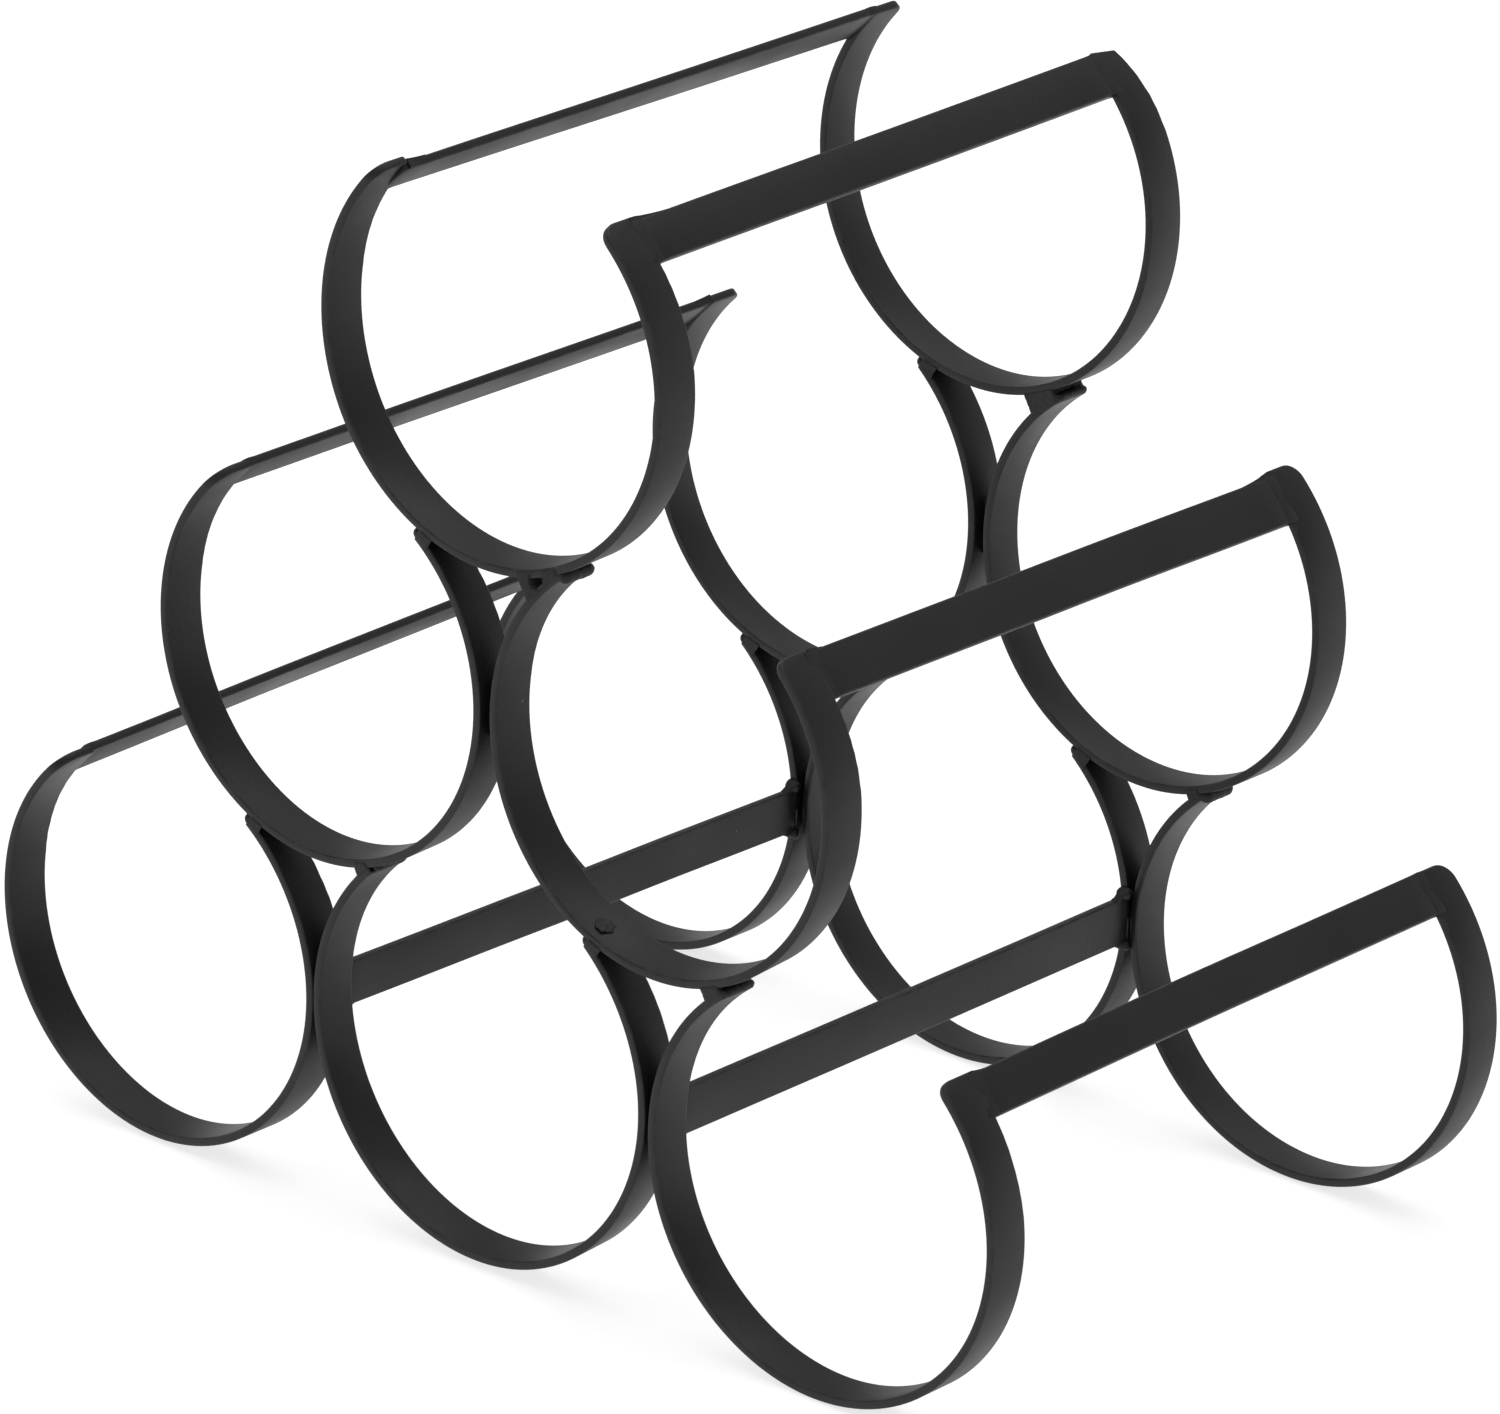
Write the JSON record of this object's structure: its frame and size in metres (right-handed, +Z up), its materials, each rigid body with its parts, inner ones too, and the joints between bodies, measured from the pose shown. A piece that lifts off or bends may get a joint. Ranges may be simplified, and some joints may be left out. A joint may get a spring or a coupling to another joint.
{
  "type": "wine rack",
  "caption": "Free-standing wine rack of flat black steel strip: open hoops stacked in a pyramid, front and rear, tied by flat bars, holding bottles on their sides.",
  "frame": {"origin": "on the table, under the middle of the rack", "axes": "+X along a row of hoops, +Y from the front frame to the rear frame, +Z up"},
  "size_m": [0.32, 0.1876, 0.2685],
  "materials": {
    "strip": "matte black paint over bent flat steel strip",
    "bar": "matte black paint over flat steel bar",
    "weld": "matte black paint over rough weld metal"
  },
  "bodies": {
    "root": {"front_hoop_bottom_left": "strip", "front_hoop_bottom_middle": "strip", "front_hoop_bottom_right": "strip", "front_hoop_middle_left": "strip", "front_hoop_middle_right": "strip", "front_hoop_top": "strip", "rear_hoop_bottom_left": "strip", "rear_hoop_bottom_middle": "strip", "rear_hoop_bottom_right": "strip", "rear_hoop_middle_left": "strip", "rear_hoop_middle_right": "strip", "rear_hoop_top": "strip", "bottom_left_bar": "bar", "bottom_right_bar": "bar", "middle_left_bar": "bar", "middle_right_bar": "bar", "top_left_bar": "bar", "top_right_bar": "bar", "inner_left_bar": "bar", "inner_right_bar": "bar", "front_side_welds": "weld", "front_limb_welds": "weld", "front_seam_welds": "weld", "front_bead_welds": "weld", "rear_side_welds": "weld", "rear_limb_welds": "weld", "rear_seam_welds": "weld", "rear_bead_welds": "weld"}
  },
  "joints": []
}
